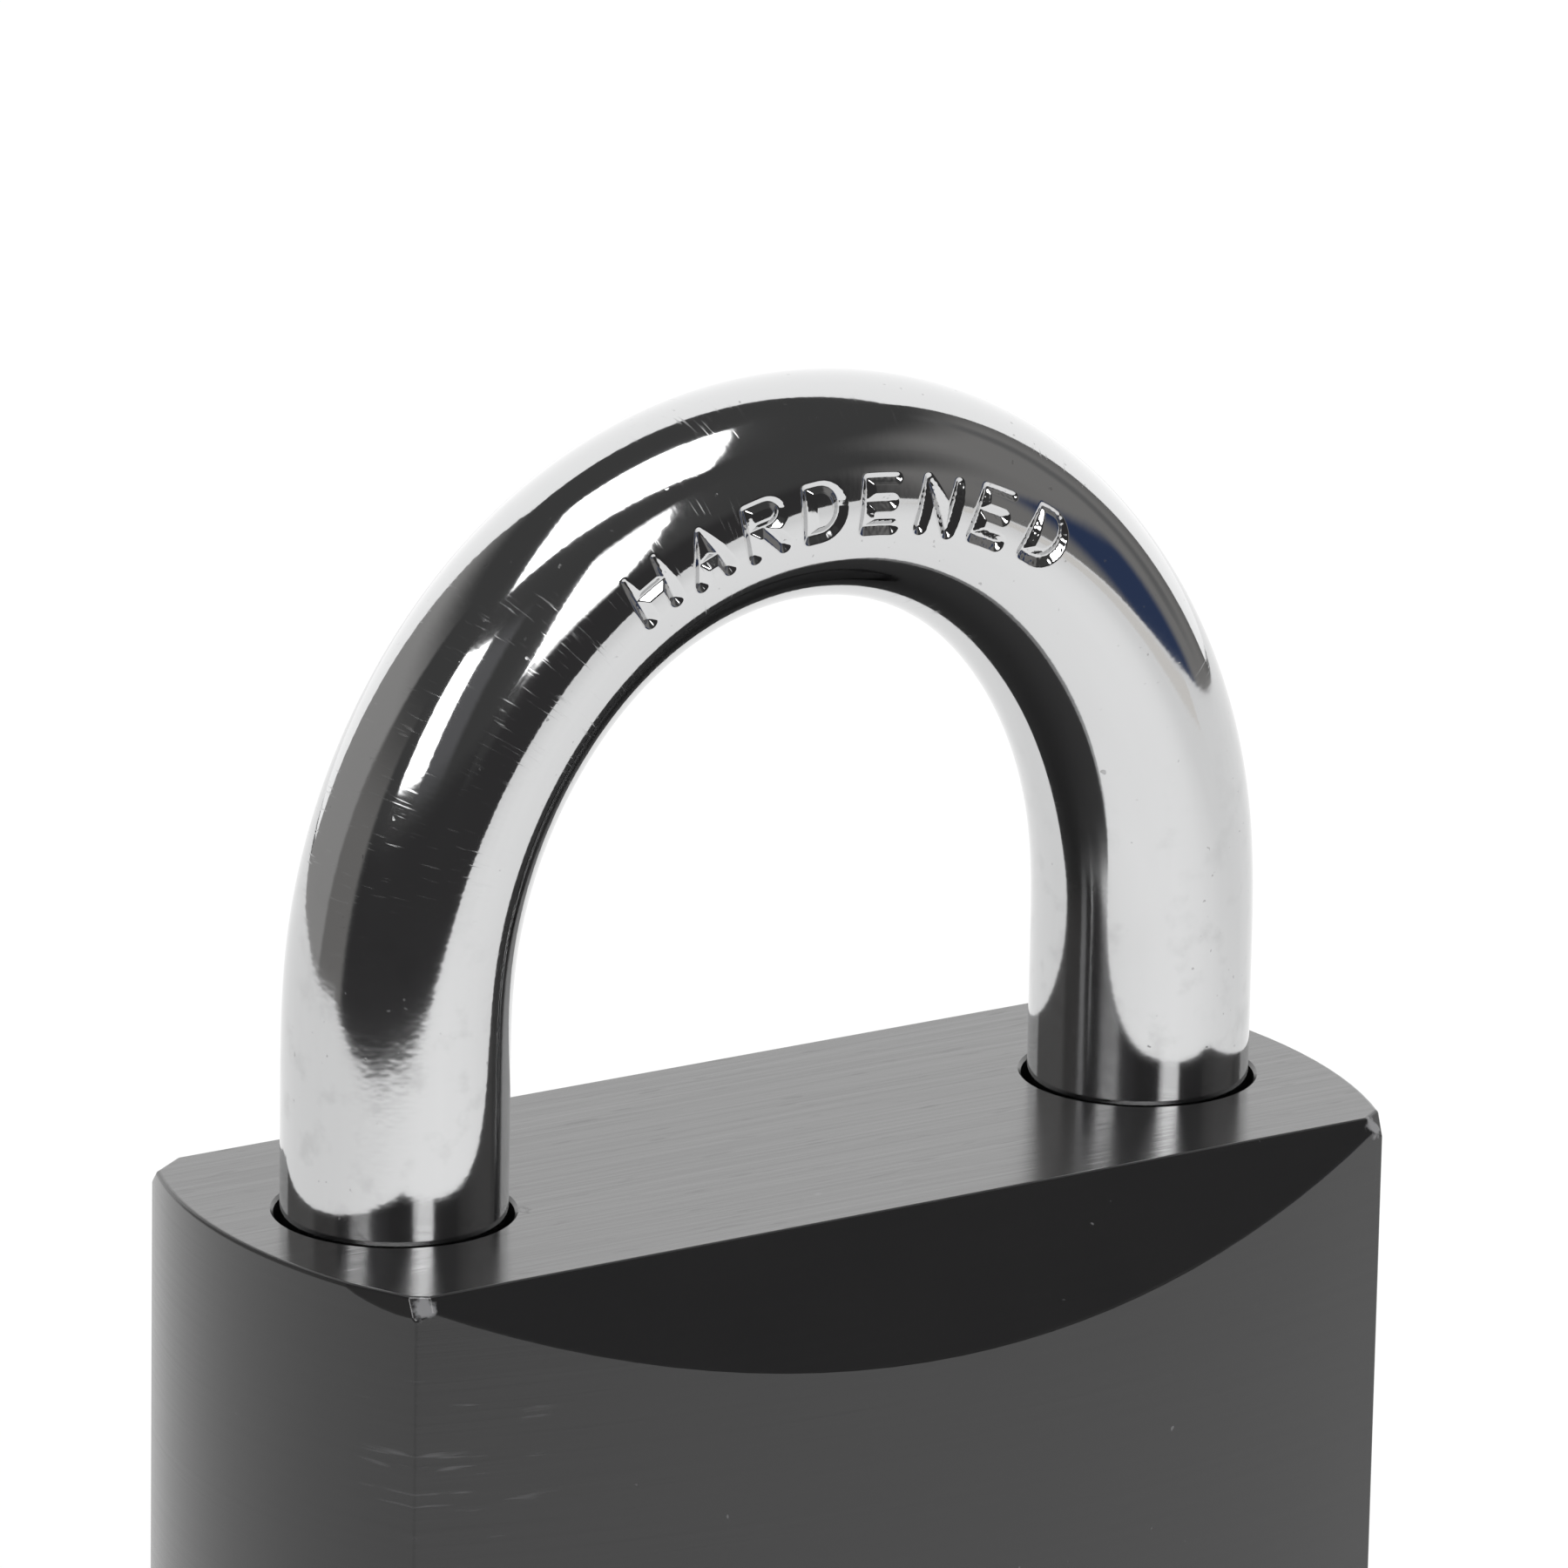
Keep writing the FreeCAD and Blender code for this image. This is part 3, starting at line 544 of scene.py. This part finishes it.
def chrome():
    """Bright plate over a ground bar: marks of the grinding run round the bar, most on the legs and the
    toe side's haunch, and the legs are duller and a little pitted."""
    g = material_graph("chrome")
    angle, along, _ = g.separate(g.add("ShaderNodeUVMap", uv_map="bar").outputs[0])
    ring_x = g.math("COSINE", angle)
    ring_y = g.math("SINE", angle)
    height_up = g.separate(g.place())[2]
    leg = g.step(height_up, (SPRING_Z - 3 * MM) / MM, (SPRING_Z + 12 * MM) / MM, 1.0, 0.0)
    cloud = g.noise(g.place(), scale=0.3, detail=3.0)
    round_bar = g.combine(ring_x, ring_y, along)
    grinding = g.noise(g.vector("MULTIPLY", round_bar, (8.0, 8.0, 2.4)), detail=1.0, roughness=0.6)
    waves = g.noise(g.vector("MULTIPLY", round_bar, (2.2, 2.2, 0.25)), detail=1.0)
    scuff = g.noise(g.vector("MULTIPLY", round_bar, (3.5, 3.5, 9.0)), detail=1.0)
    patch = g.step(g.noise(g.place(), scale=0.11, detail=2.0), 0.42, 0.58)
    patch = g.math("MULTIPLY", patch, g.math("SUBTRACT", 1.0, leg))
    scratches = g.math("MULTIPLY", g.step(scuff, 0.62, 0.74), patch)
    pits = g.step(g.noise(g.place(), scale=2.6, detail=1.0), 0.75, 0.80)
    ground = g.step(along, *GROUND_HAUNCH, 0.85, 0.30)
    strength = g.math("ADD", ground, g.math("MULTIPLY", leg, 0.10))
    marks = g.math("MULTIPLY", grinding, g.math("MULTIPLY", strength, g.math("ADD", 0.4, cloud)))
    height = g.math("ADD", marks, g.math("MULTIPLY", waves, 0.8))
    height = g.math("SUBTRACT", height, g.math("MULTIPLY", scratches, 0.15))
    height = g.math("SUBTRACT", height, g.math("MULTIPLY", pits, 0.3))
    roughness = g.math("ADD", g.math("MULTIPLY", leg, 0.02), g.math("MULTIPLY", cloud, 0.05))
    marred = g.math("ADD", g.math("MULTIPLY", scratches, 0.18), g.math("MULTIPLY", pits, 0.12))
    roughness = g.math("ADD", g.math("ADD", roughness, 0.035), marred)
    mottle = g.math("MULTIPLY", leg, g.step(g.noise(g.place(), scale=0.55, detail=4.0), 0.5, 0.75))
    plate = g.mix(mottle, (0.575, 0.577, 0.58, 1), (0.51, 0.512, 0.514, 1))
    colour = g.mix(g.math("MULTIPLY", pits, 0.4), plate, (0.25, 0.25, 0.25, 1))
    tangent = g.add("ShaderNodeTangent", direction_type="UV_MAP", uv_map="bar").outputs[0]
    return g.surface(Base_Color=colour, Metallic=1.0, Roughness=roughness, Anisotropic=0.5,
                     Anisotropic_Rotation=0.25, Tangent=tangent, Normal=g.bump(height, 1.0, GRINDING_DEPTH))


def turned_metal(name, colour, dark, roughness):
    """Machined metal with fine rings about the vertical axis."""
    g = material_graph(name)
    place = g.place()
    x, y, z = g.separate(place)
    radius = g.math("SQRT", g.math("ADD", g.math("MULTIPLY", x, x), g.math("MULTIPLY", y, y)))
    outwards, upwards = g.math("MULTIPLY", radius, RING_SCALE), g.math("MULTIPLY", z, RING_SCALE)
    rings = g.noise(g.combine(outwards, 0.0, upwards), detail=3.0)
    stain = g.noise(place, scale=0.5, detail=3.0)
    shade = g.mix(g.step(stain, 0.35, 1.15), (*colour, 1), (*dark, 1))
    return g.surface(Base_Color=shade, Metallic=1.0,
                     Roughness=g.math("ADD", roughness, g.math("MULTIPLY", stain, 0.12)),
                     Normal=g.bump(rings, 0.3, RING_DEPTH))


# ======================================================================================================
# Studio
# ======================================================================================================
TABLE_GLOW = 0.80
TABLE_DROP = 0.05 * MM              # it lies this much below the lock, so that the two don't coincide
LIGHT_POOL_MIDDLE = (0.0, -150.0, 0.0)     # middle of the painted pool of light, in millimetres
ROOM_GREY = 0.068
SOFTBOX = 8.0
WHITE_BEHIND = 1.1                  # seen by the camera past everything
BACKDROP_GLOW = 1.3
BACKDROP_AZIMUTH = 147
BACKDROP_DISTANCE = 0.85
BACKDROP_HEIGHT = 1.40
BACKDROP_HALF_WIDTH = 0.93

# What the chrome mirrors besides the table and the backdrop, in painting order: the limits in azimuth
# and elevation in degrees, how soft the edges are in each, and the brightness of each colour.
ROOM = [
    ((-88, 34), (-60, 14), (6, 9), (0.043, 0.042, 0.043)),        # darkness in front, past the table
    ((-168, -118), (-30, 38), (5, 24), (0.36, 0.355, 0.35)),      # left wall
    ((-120, -91), (-30, 26), (5, 26), (0.205, 0.20, 0.195)),      # its far corner
    ((50, 100), (-30, 38), (24, 14), (0.25, 0.245, 0.24)),        # right wall
    ((36, 62), (-30, 17), (8, 12), (0.24, 0.235, 0.23)),          # its lower end
    ((82, 88), (0, 40), (5, 10), (0.16, 0.16, 0.16)),             # gap in it
    ((48, 72), (-9, 9), (8, 6), (0.035, 0.055, 0.12)),            # blue cloth over a chair
    ((-58, -38), (18, 44), (6, 10), (0.14, 0.14, 0.145)),         # glow beside the left softbox
    ((-76.5, -57.5), (22, 44), (3.5, 2.5), (SOFTBOX,) * 3),
    ((-12.5, 8.5), (18.3, 42.6), (2.5, 8), (SOFTBOX,) * 3),
    ((-18, -8), (8, 20), (5, 5), (0.06, 0.06, 0.06)),             # its clipped lower corner
]
# Corners of the softbox overhead, as shares of its height above the lock.
OVERHEAD = [(-0.62, -0.15), (0.21, -0.57), (0.27, 0.0), (-0.26, 0.21)]
OVERHEAD_SOFTNESS = 0.03

# The table's outline, as azimuth in degrees and distance in millimetres: it ends close in front of
# the lock.
TABLE = [(-140, 650), (-115, 440), (-98, 400), (-86, 300), (-76, 262), (-62, 242), (-40, 235), (-18, 243),
         (-5, 262), (4, 298), (12, 370), (25, 600), (65, 900), (90, 1000), (115, 1100), (146, 1300),
         (180, 1100)]
PAPER = [(34, 400), (60, 470), (62, 720), (36, 560)]      # a beige sheet on it, to the right
PAPER_RISE = 1.0 * MM
PAPER_COLOUR = (1.0, 0.97, 0.93)


def direction(azimuth, elevation):
    """Unit vector; azimuth is measured from the front, -Y, towards +X."""
    a, e = math.radians(azimuth), math.radians(elevation)
    return Vector((math.sin(a) * math.cos(e), -math.cos(a) * math.cos(e), math.sin(e)))


def band(g, value, limits, softness):
    """1 between two limits and 0 outside, with soft edges centred on the limits."""
    low, high = limits
    half = softness / 2
    rise = g.step(value, low - half, low + half)
    return g.math("MULTIPLY", rise, g.step(value, high - half, high + half, 1.0, 0.0))


def overhead_mask(g, x, y, z):
    """Where the view goes through the overhead softbox."""
    across, along = g.math("DIVIDE", x, z), g.math("DIVIDE", y, z)
    mask = g.math("GREATER_THAN", z, 0.0)
    for (x0, y0), (x1, y1) in zip(OVERHEAD, OVERHEAD[1:] + OVERHEAD[:1]):
        length = math.hypot(x1 - x0, y1 - y0)
        nx, ny = -(y1 - y0) / length, (x1 - x0) / length
        reach = g.math("ADD", g.math("MULTIPLY", across, nx), g.math("MULTIPLY", along, ny))
        edge = nx * x0 + ny * y0
        mask = g.math("MULTIPLY", mask, g.step(reach, edge - OVERHEAD_SOFTNESS, edge + OVERHEAD_SOFTNESS))
    return mask


def world():
    """Dim photo studio for the reflections, and plain white where the camera looks past everything."""
    made = bpy.data.worlds.new("studio")
    bpy.context.scene.world = made
    g = Graph(made)
    x, y, z = g.separate(g.add("ShaderNodeTexCoord").outputs["Generated"])
    azimuth = g.math("DEGREES", g.math("ARCTAN2", x, g.math("MULTIPLY", y, -1.0)))
    elevation = g.math("DEGREES", g.math("ARCSINE", z))
    colour = (ROOM_GREY, ROOM_GREY, ROOM_GREY, 1)
    for azimuths, elevations, (soft_round, soft_up), tone in ROOM:
        mask = g.math("MULTIPLY", band(g, azimuth, azimuths, soft_round),
                      band(g, elevation, elevations, soft_up))
        colour = g.mix(mask, colour, (*tone, 1))
    colour = g.mix(overhead_mask(g, x, y, z), colour, (SOFTBOX, SOFTBOX, SOFTBOX, 1))
    room = g.add("ShaderNodeBackground")
    g.link(colour, room.inputs[0])
    white = g.add("ShaderNodeBackground")
    white.inputs[0].default_value = (WHITE_BEHIND, WHITE_BEHIND, WHITE_BEHIND, 1)
    choice = g.add("ShaderNodeMixShader")
    g.link(g.add("ShaderNodeLightPath").outputs["Is Camera Ray"], choice.inputs[0])
    g.link(room.outputs[0], choice.inputs[1])
    g.link(white.outputs[0], choice.inputs[2])
    g.link(choice.outputs[0], g.add("ShaderNodeOutputWorld").inputs[0])


def glow(name, strength, colour=(1.0, 1.0, 1.0)):
    g = material_graph(name)
    emission = g.add("ShaderNodeEmission")
    emission.inputs[0].default_value = (*colour, 1)
    emission.inputs[1].default_value = strength
    g.link(emission.outputs[0], g.add("ShaderNodeOutputMaterial").inputs[0])
    return g.owner


def stage_card(name, corners, material):
    data = bpy.data.meshes.new(name)
    data.from_pydata([tuple(corner) for corner in corners], [], [list(range(len(corners)))])
    data.materials.append(material)
    made = add_object(name, data)
    return made


def backdrop():
    """White card behind the lock, seen in reflections but not by the camera."""
    foot = direction(BACKDROP_AZIMUTH, 0) * BACKDROP_DISTANCE
    side = direction(BACKDROP_AZIMUTH - 90, 0) * BACKDROP_HALF_WIDTH
    top = Vector((0, 0, BACKDROP_HEIGHT))
    corners = [foot - side, foot + side, foot + side + top, foot - side + top]
    made = stage_card("backdrop", corners, glow("backdrop_white", BACKDROP_GLOW))
    made.visible_camera = False
    made.visible_shadow = False


def level_outline(outline, height):
    """Corners of a level card from its outline of azimuths and distances."""
    return [direction(azimuth, 0) * distance * MM + Vector((0, 0, height)) for azimuth, distance in outline]


def table():
    """Plain white table that glows evenly, brightest in a painted pool of light close in front of the lock,
    and clear when seen from below, with the sheet of paper on it.  The camera doesn't see the sheet, only its
    faint shade on the table from behind."""
    g = material_graph("table_white")
    # painted pool of light: the table's glow is stronger close in front of the lock
    near = g.step(g.vector("LENGTH", g.vector("SUBTRACT", g.place(), LIGHT_POOL_MIDDLE)), 60.0, 280.0, 0.20, 0.0)
    grain = g.noise(g.place(), scale=0.02, detail=2.0)
    glow_strength = g.math("ADD", g.math("ADD", TABLE_GLOW, near), g.math("MULTIPLY", grain, 0.06))
    white_with_light_pool = g.shader(Base_Color=(0.10, 0.10, 0.10, 1), Roughness=0.9, Emission_Color=(1, 1, 1, 1),
                           Emission_Strength=glow_strength)
    choice = g.add("ShaderNodeMixShader")
    g.link(g.add("ShaderNodeNewGeometry").outputs["Backfacing"], choice.inputs[0])
    g.link(white_with_light_pool, choice.inputs[1])
    g.link(g.add("ShaderNodeBsdfTransparent").outputs[0], choice.inputs[2])
    g.link(choice.outputs[0], g.add("ShaderNodeOutputMaterial").inputs[0])
    stage_card("table", level_outline(TABLE, -TABLE_DROP), g.owner)
    sheet = stage_card("paper", level_outline(PAPER, PAPER_RISE), glow("paper_beige", 0.90, PAPER_COLOUR))
    sheet.visible_camera = False


# ======================================================================================================
# Camera
# ======================================================================================================
CAMERA_AZIMUTH = -33.5
CAMERA_ELEVATION = 18.09
CAMERA_ROLL = 1.056
CAMERA_TURN = -0.022                # it aims a little beside and above the centre of the body's top
CAMERA_TILT_UP = 1.617
CAMERA_DISTANCE = 612.5 * MM
CAMERA_LENS = 288.2
CAMERA_SENSOR = 36.0


def camera():
    data = bpy.data.cameras.new("camera")
    data.lens = CAMERA_LENS
    data.sensor_width = CAMERA_SENSOR
    data.clip_start = 0.01
    made = add_object("camera", data)
    back = direction(CAMERA_AZIMUTH, CAMERA_ELEVATION)
    right = Vector((0, 0, 1)).cross(back).normalized()
    axes = Matrix((right, back.cross(right), back)).transposed().to_4x4()
    turn = Matrix.Rotation(math.radians(CAMERA_TURN), 4, "Y")
    tilt = Matrix.Rotation(math.radians(CAMERA_TILT_UP), 4, "X")
    roll = Matrix.Rotation(math.radians(CAMERA_ROLL), 4, "Z")
    place = Matrix.Translation(Vector((0, 0, BODY_TOP)) + back * CAMERA_DISTANCE)
    made.matrix_world = place @ axes @ turn @ tilt @ roll
    bpy.context.scene.camera = made


# ======================================================================================================
# Scene
# ======================================================================================================
shackle = make_shackle()
shackle.data.materials.clear()
shackle.data.materials.append(chrome())
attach(shackle, "shackle")
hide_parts("shackle")

DISCS = [name for name in nodes if name.startswith("disc_") and name != "disc_carrier"] + ["driver_disc"]
SPACERS = [name for name in nodes if name.startswith("spacer_")]
paint(["lock_body"], black_satin())
paint(["cylinder_case", "disc_carrier"],
      turned_metal("case_brass", (0.72, 0.55, 0.28), (0.50, 0.36, 0.17), 0.22))
paint(DISCS, turned_metal("disc_brass", (0.76, 0.60, 0.32), (0.55, 0.41, 0.2), 0.26))
paint(SPACERS, turned_metal("spacer_steel", (0.52, 0.52, 0.52), (0.38, 0.37, 0.36), 0.3))
paint(["guard_disc", "locking_cam", "side_bar", "drill_plate"],
      turned_metal("hard_steel", (0.46, 0.47, 0.48), (0.30, 0.30, 0.31), 0.25))
paint(["ball_heel", "ball_toe"], turned_metal("ball_steel", (0.62, 0.63, 0.65), (0.5, 0.5, 0.52), 0.1))
paint(["cylinder_pin", "heel_pin"], turned_metal("pin_steel", (0.20, 0.20, 0.21), (0.12, 0.12, 0.125), 0.3))
paint(["shackle_spring", "snap_ring"],
      turned_metal("spring_steel", (0.4, 0.4, 0.41), (0.25, 0.25, 0.26), 0.3))

world()
backdrop()
table()
camera()
bpy.context.scene.view_settings.view_transform = "Standard"
